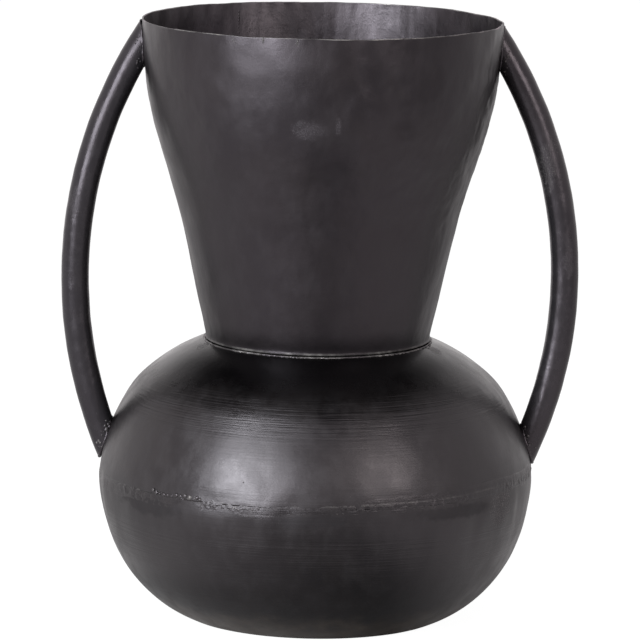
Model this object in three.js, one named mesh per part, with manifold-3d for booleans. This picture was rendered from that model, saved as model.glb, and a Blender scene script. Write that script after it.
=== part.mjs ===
// Black iron vase: a rolled and flared neck stands on a squashed round bowl that is spun
// in two halves, and a bent tube handle bridges neck and bowl on each side. Every seam is
// welded and left rough. Millimetres, +Z up, origin at the middle of the flat base, and
// the handles lie in the X-Z plane.

import * as THREE from 'three';
import { mergeVertices } from 'three/addons/utils/BufferGeometryUtils.js';
import Module from 'manifold-3d';

const wasm = await Module();
wasm.setup();

const radians = THREE.MathUtils.degToRad;

// Overall sizes
const vaseHeight = 432;
const rimRadius = 129.4;
const neckFootRadius = 80.5;
const neckFootHeight = 202;
const bellyRadius = 156.2;
const bellyHeight = 106;
const baseRadius = 94;
const sheetThickness = 1.2;

// Neck: a straight cone up to the flare, which ends in an almost upright lip. An ease is
// the share of a stretch over which a face keeps the lean that it starts or ends with.
const neckLean = radians(12.5);
const neckConeLength = 82;
const lipLean = radians(1.5);
const flareEaseLow = 0.39;
const flareEaseHigh = 0.53;
const footCurlRadius = 3;
const neckSeamAzimuth = radians(119);
const neckSeamWidth = 1.8;
const neckSeamProud = 0.4;

// Bowl: the shoulder point is where its side turns over into the slope under the neck
const shoulderReach = 0.665;
const shoulderRise = 0.665;
const shoulderLean = radians(42.5);
const shoulderSlope = radians(19);
const mouthOverlap = 5.5;
const baseSlope = radians(22);
const baseEase = 0.47;
const bellyEaseBelow = 0.61;
const bellyEaseAbove = 0.34;
const shoulderEaseBelow = 0.2;
const shoulderEaseAbove = 0.23;
const slopeEase = 0.53;

// Handles: round tube bent to one radius, mitred against the neck and the bowl
const tubeDiameter = 20;
const tubeWall = 1.5;
const tubeRunOn = 40;
const handleBendRadius = 306;
const handleTopDrop = 17.5;
const handleFootHeight = 128.5;

// Welds and the clearance that every piece keeps to its neighbour
const clearance = 0.3;
const bellyJointWidth = 1.8;
const bellyWeldHeight = 9;
const bellyWeldProud = 0.8;
const bellyWeldCrest = 3;
const bellyWeldRootHeight = 3;
const bellyWeldRootProud = 0.6;
const neckWeldRadius = 1.4;
const handleWeldSize = 1.6;
const handleWeldRise = 2.6;
const handleWeldRimDrop = 1;

// Fineness of the curved faces
const segmentsAround = 60;
const curlSteps = 3;
const flareSteps = 8;
const lowerSideSteps = 10;
const upperSideSteps = 6;
const slopeSteps = 5;
const neckWeldSides = 6;
const tubeCurveSegments = 8;
const tubeSteps = 20;

// A cutting block only has to be larger than what it cuts
const cutterSize = 3 * vaseHeight;

function ironMaterial() {
  return new THREE.MeshStandardMaterial({ color: 0x3d3b3c, roughness: 0.45, metalness: 0.9 });
}

function weldMaterial() {
  return new THREE.MeshStandardMaterial({ color: 0x575352, roughness: 0.55, metalness: 0.85 });
}

// The point at a distance from another one, in a direction that leans outwards from upright.
function along(point, lean, distance) {
  return new THREE.Vector2(point.x + distance * Math.sin(lean), point.y + distance * Math.cos(lean));
}

// A smooth stretch of a face between two points, leaving and arriving at the given leans.
function bend(start, startLean, startReach, end, endLean, endReach, steps) {
  const leave = along(start, startLean, startReach);
  const arrive = along(end, endLean, -endReach);
  return new THREE.CubicBezierCurve(start, leave, arrive, end).getPoints(steps);
}

function direction(from, to) {
  return to.clone().sub(from).normalize();
}

// Points of a face moved sideways by a distance, to the left of the way that they run.
function offsetFace(face, distance) {
  const last = face.length - 1;
  return face.map((point, i) => {
    const arriving = direction(face[Math.max(i - 1, 0)], face[Math.max(i, 1)]);
    const leaving = direction(face[Math.min(i, last - 1)], face[Math.min(i + 1, last)]);
    const middle = arriving.clone().add(leaving).normalize();
    const mitre = distance / middle.dot(arriving);
    return new THREE.Vector2(point.x - middle.y * mitre, point.y + middle.x * mitre);
  });
}

// The outline of a sheet that lies between two moved copies of one face.
function sheetOutline(face, outside, inside) {
  return [...offsetFace(face, -outside), ...offsetFace(face, inside).reverse()];
}

function closed(outline) {
  return [...outline, outline[0].clone()];
}

function revolve(outline) {
  return new THREE.LatheGeometry(outline, segmentsAround).rotateX(Math.PI / 2);
}

function toSolid(geometry) {
  const bare = geometry.clone();
  bare.deleteAttribute('normal');
  bare.deleteAttribute('uv');
  const merged = mergeVertices(bare);
  return new wasm.Manifold(new wasm.Mesh({
    numProp: 3,
    vertProperties: new Float32Array(merged.attributes.position.array),
    triVerts: new Uint32Array(merged.index.array),
  }));
}

function toGeometry(solid) {
  const mesh = solid.getMesh();
  const geometry = new THREE.BufferGeometry();
  geometry.setAttribute('position', new THREE.BufferAttribute(mesh.vertProperties, 3));
  geometry.setIndex(new THREE.BufferAttribute(mesh.triVerts, 1));
  geometry.computeVertexNormals();
  return geometry;
}

// Outer face of the neck, from the turned-in edge at its foot up to the rim.
const foot = new THREE.Vector2(neckFootRadius, neckFootHeight);
const curlCentre = new THREE.Vector2(
  neckFootRadius - footCurlRadius * Math.cos(neckLean),
  neckFootHeight
    + (footCurlRadius + clearance) / Math.cos(shoulderSlope)
    + footCurlRadius * Math.cos(neckLean) * Math.tan(shoulderSlope),
);

function neckCurlFace() {
  const startAngle = -Math.PI / 2 - shoulderSlope;
  const points = [];
  for (let i = 0; i <= curlSteps; i += 1) {
    const angle = THREE.MathUtils.lerp(startAngle, -neckLean, i / curlSteps);
    points.push(new THREE.Vector2(
      curlCentre.x + footCurlRadius * Math.cos(angle),
      curlCentre.y + footCurlRadius * Math.sin(angle),
    ));
  }
  return points;
}

function neckWallFace(start) {
  const rim = new THREE.Vector2(rimRadius, vaseHeight);
  const coneTop = along(start, neckLean, neckConeLength);
  const flareHeight = vaseHeight - coneTop.y;
  const flare = bend(
    coneTop, neckLean, flareEaseLow * flareHeight,
    rim, lipLean, flareEaseHigh * flareHeight, flareSteps,
  );
  return [start, ...flare];
}

// Outer face of the bowl: the lower half rises from the base, the upper half goes on to
// the mouth under the neck.
function lowerBowlFace() {
  const middle = new THREE.Vector2(0, 0);
  const base = new THREE.Vector2(baseRadius, 0);
  const edge = new THREE.Vector2(bellyRadius, bellyHeight - bellyJointWidth / 2);
  const side = bend(
    base, Math.PI / 2 - baseSlope, baseEase * (bellyRadius - baseRadius),
    edge, 0, bellyEaseBelow * bellyHeight, lowerSideSteps,
  );
  return [middle, ...side];
}

function upperBowlFace() {
  const edge = new THREE.Vector2(bellyRadius, bellyHeight + bellyJointWidth / 2);
  const shoulder = new THREE.Vector2(
    THREE.MathUtils.lerp(neckFootRadius, bellyRadius, shoulderReach),
    THREE.MathUtils.lerp(bellyHeight, neckFootHeight, shoulderRise),
  );
  const footLean = shoulderSlope - Math.PI / 2;
  const rise = shoulder.y - bellyHeight;
  const width = shoulder.x - neckFootRadius;
  const side = bend(
    edge, 0, bellyEaseAbove * rise,
    shoulder, -shoulderLean, shoulderEaseBelow * rise, upperSideSteps,
  );
  const slope = bend(
    shoulder, -shoulderLean, shoulderEaseAbove * width,
    foot, footLean, slopeEase * width, slopeSteps,
  );
  const mouth = along(foot, footLean, mouthOverlap);
  return [...side, ...slope.slice(1), mouth];
}

const curlFace = neckCurlFace();
const wallFace = neckWallFace(curlFace[curlFace.length - 1]);
const neckFace = [...curlFace, ...wallFace.slice(1)];
const lowerFace = lowerBowlFace();
const upperFace = upperBowlFace();
const bowlFace = [...lowerFace.slice(1), ...upperFace];

// Everything above a height.
function blockAbove(height) {
  const block = new THREE.BoxGeometry(cutterSize, cutterSize, cutterSize);
  block.translate(0, 0, height + cutterSize / 2);
  return toSolid(block);
}

// A block that reaches out from the axis along the neck's seam.
function seamBlock(width) {
  const block = new THREE.BoxGeometry(cutterSize, width, cutterSize);
  block.translate(cutterSize / 2, 0, 0);
  block.rotateZ(neckSeamAzimuth);
  return toSolid(block);
}

// The neck is one sheet rolled round, so a slit is left where its two edges meet.
function makeNeck() {
  const rolled = toSolid(revolve(closed(sheetOutline(neckFace, 0, sheetThickness))));
  return toGeometry(rolled.subtract(seamBlock(neckSeamWidth)));
}

function makeNeckSeamWeld() {
  const inside = sheetThickness + neckSeamProud;
  const filled = toSolid(revolve(closed(sheetOutline(wallFace, neckSeamProud, inside))));
  const weld = filled.intersect(seamBlock(neckSeamWidth - 2 * clearance));
  return toGeometry(weld.subtract(blockAbove(vaseHeight)));
}

function makeUpperBowl() {
  return revolve(closed(sheetOutline(upperFace, 0, sheetThickness)));
}

function makeLowerBowl() {
  return revolve(sheetOutline(lowerFace, 0, sheetThickness));
}

// A rounded ring of weld in the groove between the neck's curled edge and the shoulder.
function makeNeckWeld() {
  const drop = footCurlRadius - neckWeldRadius;
  const reach = Math.sqrt((footCurlRadius + clearance + neckWeldRadius) ** 2 - drop ** 2);
  const outwards = Math.PI / 2 + shoulderSlope;
  const centre = along(along(curlCentre, outwards, reach), shoulderSlope, -drop);
  const outline = [];
  for (let i = 0; i < neckWeldSides; i += 1) {
    const angle = shoulderSlope - (2 * Math.PI * i) / neckWeldSides;
    outline.push(along(centre, angle, neckWeldRadius));
  }
  return revolve(closed(outline));
}

// The belly weld has a low cap outside, a rib between the two sheets and a root bead inside.
function makeBellyWeld() {
  const capFoot = bellyRadius + clearance;
  const capTop = capFoot + bellyWeldProud;
  const rootFoot = bellyRadius - sheetThickness - clearance;
  const rootTop = rootFoot - bellyWeldRootProud;
  const halfCap = bellyWeldHeight / 2;
  const halfRib = bellyJointWidth / 2 - clearance;
  const halfRoot = bellyWeldRootHeight / 2;
  const upperHalf = [
    [capTop, bellyWeldCrest / 2],
    [capFoot, halfCap],
    [capFoot, halfRib],
    [rootFoot, halfRib],
    [rootFoot, halfRoot],
    [rootTop, 0],
  ];
  const lowerHalf = upperHalf.slice(0, -1).reverse().map(([radius, height]) => [radius, -height]);
  const outline = [...upperHalf, ...lowerHalf];
  return revolve(closed(outline.map(([radius, height]) => new THREE.Vector2(radius, bellyHeight + height))));
}

// Where a face has the given height: the point there and how far the wall leans outwards.
function wallAt(face, height) {
  const i = face.findIndex((point) => point.y > height);
  const below = face[i - 1];
  const above = face[i];
  const share = (height - below.y) / (above.y - below.y);
  return {
    point: below.clone().lerp(above, share),
    lean: Math.atan2(above.x - below.x, above.y - below.y),
  };
}

const handleTop = wallAt(neckFace, vaseHeight - handleTopDrop);
const handleFoot = wallAt(upperFace, handleFootHeight);

// Middle line of a handle: an arc through both contact points, run on into the walls.
class HandleArc extends THREE.Curve {
  constructor(top, bottom, radius, runOn) {
    super();
    const chord = top.clone().sub(bottom);
    const rise = Math.sqrt(radius ** 2 - chord.lengthSq() / 4);
    const inwards = new THREE.Vector2(-chord.y, chord.x).normalize();
    this.radius = radius;
    this.centre = top.clone().add(bottom).multiplyScalar(0.5).addScaledVector(inwards, rise);
    this.startAngle = bottom.clone().sub(this.centre).angle() - 2 * Math.PI - runOn / radius;
    this.endAngle = top.clone().sub(this.centre).angle() + runOn / radius;
  }

  getPoint(t, target = new THREE.Vector3()) {
    const angle = THREE.MathUtils.lerp(this.startAngle, this.endAngle, t);
    const x = this.centre.x + this.radius * Math.cos(angle);
    const z = this.centre.y + this.radius * Math.sin(angle);
    return target.set(x, 0, z);
  }
}

const handleArc = new HandleArc(handleTop.point, handleFoot.point, handleBendRadius, tubeRunOn);
const handleHeight = handleTop.point.y - handleFoot.point.y;

function tube(outerRadius, innerRadius) {
  const section = new THREE.Shape().absarc(0, 0, outerRadius, 0, 2 * Math.PI);
  if (innerRadius > 0) {
    section.holes.push(new THREE.Path().absarc(0, 0, innerRadius, 0, 2 * Math.PI));
  }
  return toSolid(new THREE.ExtrudeGeometry(section, {
    steps: tubeSteps,
    curveSegments: tubeCurveSegments,
    extrudePath: handleArc,
  }));
}

// A block whose outer face stands off the wall's tangent plane, and whose rest lies inwards.
function blockAgainst(wall, standOff, depth, height) {
  const block = new THREE.BoxGeometry(depth, cutterSize, height);
  block.translate(standOff - depth / 2, 0, 0);
  block.rotateY(wall.lean);
  block.translate(wall.point.x, 0, wall.point.y);
  return toSolid(block);
}

function makeHandle() {
  const radius = tubeDiameter / 2;
  return toGeometry(
    tube(radius, radius - tubeWall)
      .subtract(blockAgainst(handleTop, clearance, cutterSize, cutterSize))
      .subtract(blockAgainst(handleFoot, clearance, cutterSize, cutterSize)),
  );
}

// Everything between a face and a core round the axis, with the clearance added outside.
function solidBehind(face) {
  const skin = offsetFace(face, -clearance);
  const core = neckFootRadius / 2;
  const top = new THREE.Vector2(core, skin[skin.length - 1].y);
  const bottom = new THREE.Vector2(core, skin[0].y);
  return toSolid(revolve(closed([...skin, top, bottom])));
}

// The room that the belly weld takes up, with the clearance round it.
function bellyWeldRoom() {
  const core = bellyRadius / 2;
  const outside = bellyRadius + bellyWeldProud + 2 * clearance;
  const halfHeight = bellyWeldHeight / 2 + clearance;
  return toSolid(revolve(closed([
    new THREE.Vector2(core, bellyHeight - halfHeight),
    new THREE.Vector2(outside, bellyHeight - halfHeight),
    new THREE.Vector2(outside, bellyHeight + halfHeight),
    new THREE.Vector2(core, bellyHeight + halfHeight),
  ])));
}

// A collar of weld round the mitred end of a tube, shaped by the wall that it sits on. The
// block near the wall reaches half way up the handle, so that it misses the other end.
function makeHandleWeld(wall, face) {
  const radius = tubeDiameter / 2;
  const nearWall = blockAgainst(wall, handleWeldRise, tubeDiameter, handleHeight);
  return toGeometry(
    tube(radius + handleWeldSize, 0)
      .intersect(nearWall)
      .subtract(tube(radius + clearance, 0))
      .subtract(solidBehind(face))
      .subtract(bellyWeldRoom())
      .subtract(blockAbove(vaseHeight - handleWeldRimDrop)),
  );
}

function named(name, geometry, material) {
  const mesh = new THREE.Mesh(geometry, material);
  mesh.name = name;
  return mesh;
}

// One handle with its two welds, made on the +X side and turned to the side asked for.
function makeHandleGroup(side, turn) {
  const group = new THREE.Group();
  group.rotation.z = turn;
  group.add(
    named(`handle_${side}`, makeHandle(), ironMaterial()),
    named(`handle_${side}_top_weld`, makeHandleWeld(handleTop, wallFace), weldMaterial()),
    named(`handle_${side}_foot_weld`, makeHandleWeld(handleFoot, bowlFace), weldMaterial()),
  );
  return group;
}

const vase = new THREE.Group();
vase.add(
  named('lower_bowl', makeLowerBowl(), ironMaterial()),
  named('upper_bowl', makeUpperBowl(), ironMaterial()),
  named('belly_weld', makeBellyWeld(), weldMaterial()),
  named('neck', makeNeck(), ironMaterial()),
  named('neck_seam_weld', makeNeckSeamWeld(), weldMaterial()),
  named('neck_weld', makeNeckWeld(), weldMaterial()),
  makeHandleGroup('right', 0),
  makeHandleGroup('left', Math.PI),
);

export default vase;
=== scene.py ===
import math

import bmesh
import bpy
import numpy as np
from bpy.props import FloatProperty, FloatVectorProperty, PointerProperty
from mathutils import Matrix, Vector


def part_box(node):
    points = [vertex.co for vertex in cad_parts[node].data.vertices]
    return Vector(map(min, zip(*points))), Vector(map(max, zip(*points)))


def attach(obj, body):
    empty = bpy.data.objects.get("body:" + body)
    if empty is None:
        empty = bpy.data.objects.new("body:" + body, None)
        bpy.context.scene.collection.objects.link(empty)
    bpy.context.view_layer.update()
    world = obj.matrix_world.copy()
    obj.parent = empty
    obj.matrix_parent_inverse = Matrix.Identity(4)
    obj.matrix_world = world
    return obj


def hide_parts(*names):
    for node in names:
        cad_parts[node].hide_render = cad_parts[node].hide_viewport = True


bl_info = {
    "name": "Black Iron Vase",
    "version": (1, 0, 0),
    "blender": (4, 5, 0),
    "location": "3D Viewport > Sidebar > Vase",
    "description": "Makes the finished surfaces of a welded iron vase round its construction",
    "category": "Add Mesh",
}

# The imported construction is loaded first, so that the sizes below can come from it.
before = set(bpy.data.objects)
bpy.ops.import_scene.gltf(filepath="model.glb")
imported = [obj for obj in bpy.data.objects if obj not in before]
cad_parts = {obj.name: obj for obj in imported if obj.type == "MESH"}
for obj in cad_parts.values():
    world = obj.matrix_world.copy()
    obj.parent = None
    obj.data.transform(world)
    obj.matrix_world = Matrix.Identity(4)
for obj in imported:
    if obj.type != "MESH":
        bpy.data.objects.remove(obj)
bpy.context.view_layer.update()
neck_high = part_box("neck")[1]
bowl_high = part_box("upper_bowl")[1]
belly_weld_low, belly_weld_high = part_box("belly_weld")

MM = 0.001
FULL_TURN = 2 * math.pi


class VaseSizes(bpy.types.PropertyGroup):
    """Sizes of the vase, which match its construction."""

    height: FloatProperty(name="Height", description="From the base to the rim",
                          default=neck_high.z, unit="LENGTH")
    rim_radius: FloatProperty(name="Rim radius", description="Outside of the flared rim",
                              default=neck_high.x, unit="LENGTH")
    neck_foot_radius: FloatProperty(name="Neck foot radius", description="Outside of the neck's foot",
                                    default=80.5 * MM, unit="LENGTH")
    neck_foot_height: FloatProperty(name="Neck foot height", description="Shoulder's height under the neck",
                                    default=201.2 * MM, unit="LENGTH")
    belly_radius: FloatProperty(name="Belly radius", description="Outside of the bowl at its widest",
                                default=bowl_high.x, unit="LENGTH")
    belly_height: FloatProperty(name="Belly height", description="Height of the joint between the halves",
                                default=(belly_weld_low.z + belly_weld_high.z) / 2, unit="LENGTH")
    base_radius: FloatProperty(name="Base radius", description="Radius of the flat base",
                               default=94 * MM, unit="LENGTH")
    sheet: FloatProperty(name="Sheet", description="Thickness of the iron sheet",
                         default=1.2 * MM, unit="LENGTH")
    joint_gap: FloatProperty(name="Joint gap", description="Gap between the bowl's halves, under the weld",
                             default=0.03 * MM, unit="LENGTH")
    tube_radius: FloatProperty(name="Tube radius", description="Outside radius of the handle tube",
                               default=10 * MM, unit="LENGTH")
    tube_wall: FloatProperty(name="Tube wall", description="Wall of the handle tube",
                             default=1.5 * MM, unit="LENGTH")
    right_bend: FloatProperty(name="Right handle bend", description="Radius that the right tube is bent to",
                              default=311 * MM, unit="LENGTH")
    left_bend: FloatProperty(name="Left handle bend", description="Radius that the left tube is bent to",
                             default=326 * MM, unit="LENGTH")
    handle_top_drop: FloatProperty(name="Handle top", description="How far below the rim it meets the neck",
                                   default=17.5 * MM, unit="LENGTH")
    handle_foot_height: FloatProperty(name="Handle foot", description="Height where it meets the bowl",
                                      default=125.5 * MM, unit="LENGTH")


class VaseColours(bpy.types.PropertyGroup):
    """Colours of the blackened iron and its welds."""

    # Dark iron is also the colour of the painted shadows and the bands of painted shade.
    dark: FloatVectorProperty(name="Dark iron", description="Deepest tone of the blackened sheet",
                              subtype="COLOR", size=4, default=(0.0012, 0.0010, 0.0012, 1))
    warm: FloatVectorProperty(name="Warm iron", description="Brownish tone of the oiled sheet",
                              subtype="COLOR", size=4, default=(0.0032, 0.0025, 0.0024, 1))
    pale: FloatVectorProperty(name="Pale iron", description="Rubbed, dusty tone of the sheet",
                              subtype="COLOR", size=4, default=(0.0075, 0.0068, 0.0072, 1))
    # Brown iron near the base is rust, and its pale brown also stands in for a painted reflection of the
    # floor.
    rust_and_floor_reflection: FloatVectorProperty(name="Brown iron", description="Brownish tone near the base",
                              subtype="COLOR", size=4, default=(0.100, 0.075, 0.057, 1))
    # Scuffed iron also pales the bowl mark that is a painted highlight of a swelling.
    scuff: FloatVectorProperty(name="Scuffed iron", description="Pale speckles of a rough patch",
                               subtype="COLOR", size=4, default=(0.030, 0.027, 0.030, 1))
    bare: FloatVectorProperty(name="Bare metal", description="Worn edges and bright weld beads",
                              subtype="COLOR", size=4, default=(0.30, 0.28, 0.27, 1))


class StageSettings(bpy.types.PropertyGroup):
    """Camera and light round the vase."""

    distance: FloatProperty(name="Camera distance", description="From the camera to the middle of the vase",
                            default=3.6, unit="LENGTH")
    elevation: FloatProperty(name="Camera elevation", description="How far the camera looks down",
                             default=math.radians(9.4), subtype="ANGLE")
    roll: FloatProperty(name="Camera roll", description="Lean of the picture",
                        default=math.radians(0.9), subtype="ANGLE")
    lens: FloatProperty(name="Lens", description="Focal length on a 36 mm wide sensor, in mm",
                        default=280)
    target_height: FloatProperty(name="Target height", description="Height that the camera looks at",
                                 default=214.5 * MM, unit="LENGTH")
    aside: FloatProperty(name="Aside", description="How far right of the vase's axis the camera stands",
                         default=1.5 * MM, unit="LENGTH")


# Outlines in the (radius, height) plane

def along(point, lean, distance):
    """The point at a distance, in a direction that leans outwards from upright."""
    return np.array(point) + distance * np.array([math.sin(lean), math.cos(lean)])


def bend(start, start_lean, start_reach, end, end_lean, end_reach, steps):
    """A smooth stretch of a face that leaves and arrives at the given leans."""
    t = np.linspace(0, 1, steps + 1)[:, None]
    leave = along(start, start_lean, start_reach)
    arrive = along(end, end_lean, -end_reach)
    return ((1 - t) ** 3 * np.array(start) + 3 * (1 - t) ** 2 * t * leave
            + 3 * (1 - t) * t ** 2 * arrive + t ** 3 * np.array(end))


SHOULDER_SLOPE = math.radians(19)
NECK_LEAN = math.radians(12.5)
CURL_RADIUS = 0.9 * MM
CLEARANCE = 0.3 * MM
FOOT_KICK = 1.1 * MM
FOOT_KICK_REACH = 1.1 * MM
CURL_POINTS = 13
FLOOR_POINTS = 24
EDGE_POINTS = 5


def curl_centre(sizes):
    """Middle of the turned-in edge at the foot of the neck."""
    radius = sizes.neck_foot_radius - CURL_RADIUS * math.cos(NECK_LEAN)
    height = (sizes.neck_foot_height + (CURL_RADIUS + CLEARANCE) / math.cos(SHOULDER_SLOPE)
              + CURL_RADIUS * math.cos(NECK_LEAN) * math.tan(SHOULDER_SLOPE))
    return np.array([radius, height])


def neck_face(sizes):
    """Outer face of the neck, from the turned-in edge up to the rim."""
    centre = curl_centre(sizes)
    angles = np.linspace(-math.pi / 2 - SHOULDER_SLOPE, -NECK_LEAN, CURL_POINTS)
    curl = centre + CURL_RADIUS * np.column_stack([np.cos(angles), np.sin(angles)])
    cone_top = along(curl[-1], NECK_LEAN, 82 * MM)
    cone = curl[-1] + (cone_top - curl[-1]) * (np.linspace(0, 1, 60) ** 1.8)[:, None]
    rise = sizes.height - cone_top[1]
    rim = (sizes.rim_radius, sizes.height)
    flare = bend(cone_top, NECK_LEAN, 0.39 * rise, rim, math.radians(1.5), 0.53 * rise, 120)
    face = np.vstack([curl, cone[1:], flare[1:]])
    above = np.maximum(face[:, 1] - curl[-1, 1], 0)
    face[:, 0] += FOOT_KICK * np.exp(-above / FOOT_KICK_REACH)
    return face


def lower_bowl_face(sizes):
    """Outer face of the lower half, from the middle of the base to the joint."""
    base = (sizes.base_radius, 0)
    edge = (sizes.belly_radius, sizes.belly_height - sizes.joint_gap / 2)
    floor = np.linspace((0, 0), base, FLOOR_POINTS)
    side = bend(base, math.radians(68), 0.47 * (sizes.belly_radius - sizes.base_radius),
                edge, 0, 0.61 * sizes.belly_height, 180)
    return np.vstack([floor, side[1:]])


def upper_bowl_face(sizes):
    """Outer face of the upper half, from the joint to the mouth under the neck."""
    edge = (sizes.belly_radius, sizes.belly_height + sizes.joint_gap / 2)
    foot = (sizes.neck_foot_radius, sizes.neck_foot_height)
    shoulder = (foot[0] + 0.665 * (sizes.belly_radius - foot[0]),
                sizes.belly_height + 0.665 * (foot[1] - sizes.belly_height))
    rise = shoulder[1] - sizes.belly_height
    width = shoulder[0] - foot[0]
    lean = math.radians(-42.5)
    foot_lean = SHOULDER_SLOPE - math.pi / 2
    side = bend(edge, 0, 0.34 * rise, shoulder, lean, 0.2 * rise, 110)
    slope = bend(shoulder, lean, 0.23 * width, foot, foot_lean, 0.53 * width, 90)
    mouth = along(foot, foot_lean, 5.5 * MM)
    return np.vstack([side, slope[1:], np.linspace(foot, mouth, 6)[1:]])


def offset_face(face, distance):
    """A face moved to the left of the way that its points run."""
    steps = np.diff(face, axis=0)
    steps /= np.linalg.norm(steps, axis=1)[:, None]
    arriving = np.vstack([steps[:1], steps])
    leaving = np.vstack([steps, steps[-1:]])
    middle = arriving + leaving
    middle /= np.linalg.norm(middle, axis=1)[:, None]
    mitre = distance / np.sum(middle * arriving, axis=1)
    return face + mitre[:, None] * np.column_stack([-middle[:, 1], middle[:, 0]])


def sheet_outline(face, thickness):
    """Outline of a sheet behind a face, with how worn each point is, most on the cut edge."""
    last = face[-1] - face[-2]
    face = np.vstack([face[:-1], face[-1] - 0.4 * MM * last / np.linalg.norm(last), face[-1:]])
    back = offset_face(face, thickness)[::-1]
    across = back[0] - face[-1]
    forward = np.array([across[1], -across[0]])
    turn = np.linspace(0, math.pi, EDGE_POINTS + 2)[1:-1]
    middle = face[-1] + across / 2
    bulge = 0.25
    edge = [middle - math.cos(a) * across / 2 + bulge * math.sin(a) * forward for a in turn]
    outline = np.vstack([face, edge, back])
    worn = np.zeros(len(outline))
    worn[len(face) - 1:len(face) + EDGE_POINTS + 1] = 1.8
    return outline, worn


# Building of node trees

class Graph:
    """Adds nodes to a tree and wires or sets their inputs as it goes."""

    def __init__(self, tree, ends=True):
        self.tree = tree
        if ends:
            self.start = tree.nodes.new("NodeGroupInput").outputs
            self.end = tree.nodes.new("NodeGroupOutput")

    def add(self, kind, inputs=None, **settings):
        node = self.tree.nodes.new(kind)
        for name, value in settings.items():
            setattr(node, name, value)
        for key, value in (inputs or {}).items():
            self.feed(node.inputs[key], value)
        return node

    def feed(self, socket, value):
        if isinstance(value, bpy.types.NodeSocket):
            self.tree.links.new(value, socket)
        else:
            socket.default_value = value

    def group(self, name, inputs):
        """The outputs of a shader node group placed with the given inputs."""
        return self.add("ShaderNodeGroup", inputs, node_tree=tool(name)).outputs

    def math(self, operation, first, second=0.0):
        return self.add("ShaderNodeMath", {0: first, 1: second}, operation=operation).outputs[0]

    def plus(self, first, second):
        return self.math("ADD", first, second)

    def minus(self, first, second):
        return self.math("SUBTRACT", first, second)

    def ratio(self, first, second):
        return self.math("DIVIDE", first, second)

    def most(self, first, second):
        return self.math("MAXIMUM", first, second)

    def times(self, product, *others):
        """The product of two or more values."""
        for other in others:
            product = self.math("MULTIPLY", product, other)
        return product

    def vector(self, operation, first, second=(0, 0, 0)):
        return self.add("ShaderNodeVectorMath", {0: first, 1: second}, operation=operation).outputs[0]

    def scaled(self, vector, scale):
        return self.add("ShaderNodeVectorMath", {0: vector, "Scale": scale}, operation="SCALE").outputs[0]

    def length(self, vector):
        return self.add("ShaderNodeVectorMath", {0: vector}, operation="LENGTH").outputs["Value"]

    def split(self, vector):
        return self.add("ShaderNodeSeparateXYZ", {"Vector": vector}).outputs

    def join(self, parts):
        return self.add("ShaderNodeCombineXYZ", parts).outputs[0]

    def position(self):
        """The place of each point of a mesh."""
        return self.add("GeometryNodeInputPosition").outputs[0]

    def coordinates(self):
        """The place on the piece, for a shader."""
        return self.add("ShaderNodeTexCoord").outputs["Object"]

    def named(self, name):
        """A value that an earlier step stored on each point."""
        return self.add("GeometryNodeInputNamedAttribute", {"Name": name}, data_type="FLOAT").outputs[0]

    def store(self, geometry, name, value):
        return self.add("GeometryNodeStoreNamedAttribute", {
            "Geometry": geometry, "Name": name, "Value": value}, data_type="FLOAT").outputs[0]

    def moved(self, geometry, offset):
        return self.add("GeometryNodeSetPosition", {"Geometry": geometry, "Offset": offset}).outputs[0]

    def noise(self, vector, scale, detail=2.0, roughness=0.5):
        return self.add("ShaderNodeTexNoise", {
            "Vector": vector, "Scale": scale, "Detail": detail, "Roughness": roughness}).outputs[0]

    def bumps(self, vector, size, depth, detail, roughness=0.5):
        """Soft bumps and hollows of a size, with a depth from the lowest to the highest."""
        uneven = self.noise(vector, self.ratio(1.0, size), detail, roughness)
        return self.times(self.minus(uneven, 0.5), depth)

    def span(self, value, low, high, to_low=0.0, to_high=1.0):
        """A smooth step of a value from one range to another."""
        return self.add("ShaderNodeMapRange", {
            "Value": value, "From Min": low, "From Max": high, "To Min": to_low, "To Max": to_high},
            interpolation_type="SMOOTHSTEP").outputs[0]

    def band(self, value, low, high, core):
        """1 in the core of a band of values, falling softly to 0 at its two sides."""
        middle = self.times(self.plus(low, high), 0.5)
        half = self.minus(high, middle)
        away = self.math("ABSOLUTE", self.minus(value, middle))
        return self.span(away, half, self.times(half, core))

    def blend(self, factor, first, second):
        return self.add("ShaderNodeMix", {"Factor": factor, 6: first, 7: second},
                        data_type="RGBA").outputs[2]


SOCKETS = {"geometry": "NodeSocketGeometry", "float": "NodeSocketFloat", "int": "NodeSocketInt",
           "vector": "NodeSocketVector", "colour": "NodeSocketColor", "material": "NodeSocketMaterial"}


def new_tree(name, kind, inputs, outputs):
    """An empty node tree with named inputs and outputs."""
    tree = bpy.data.node_groups.new(name, kind)
    for in_out, sockets in (("INPUT", inputs), ("OUTPUT", outputs)):
        for label, socket in sockets.items():
            tree.interface.new_socket(name=label, in_out=in_out, socket_type=SOCKETS[socket])
    return Graph(tree)


def shape_tree(name, inputs):
    """An empty geometry tree that takes a base mesh, the named values and a material."""
    return new_tree(name, "GeometryNodeTree", {
        "Geometry": "geometry", **inputs, "Material": "material"}, {"Geometry": "geometry"})


def floats(*names):
    """Sockets with these names, for plain numbers."""
    return dict.fromkeys(names, "float")


def close_tree(graph, geometry):
    """The last steps of every shape: smooth faces, real copies and a material."""
    smooth = graph.add("GeometryNodeSetShadeSmooth", {"Geometry": geometry})
    real = graph.add("GeometryNodeRealizeInstances", {"Geometry": smooth.outputs[0]})
    finish = graph.add("GeometryNodeSetMaterial", {
        "Geometry": real.outputs[0], "Material": graph.start["Material"]})
    graph.feed(graph.end.inputs[0], finish.outputs[0])


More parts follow.
